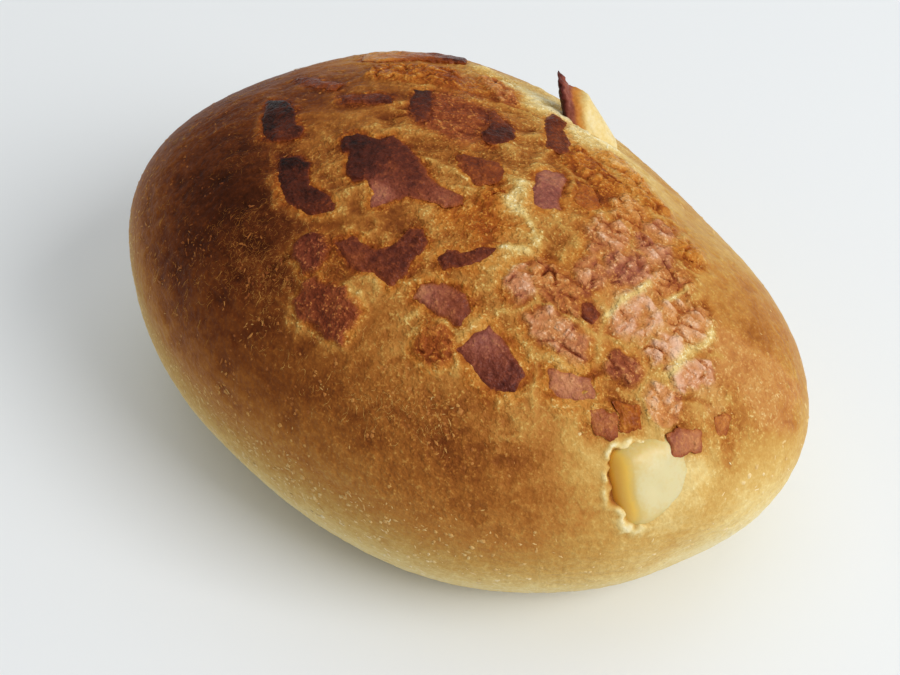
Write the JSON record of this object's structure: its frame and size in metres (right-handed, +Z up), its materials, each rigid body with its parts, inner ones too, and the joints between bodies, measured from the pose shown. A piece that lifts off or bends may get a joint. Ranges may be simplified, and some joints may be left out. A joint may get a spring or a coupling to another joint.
{
  "type": "rice bread roll",
  "caption": "Plump oblong baked roll with a cracked, browned rice-paste crust over its top and a lump of pale filling showing through the crust near one end.",
  "frame": {"origin": "on the table under the middle of the roll", "axes": "+X along the roll towards the end where the filling shows, +Z up"},
  "size_m": [0.117, 0.0884, 0.0548],
  "materials": {
    "crust": "satin browned crust",
    "filling": "smooth, slightly moist"
  },
  "bodies": {
    "root": {"bread": "crust", "filling_lump": "filling"}
  },
  "joints": []
}
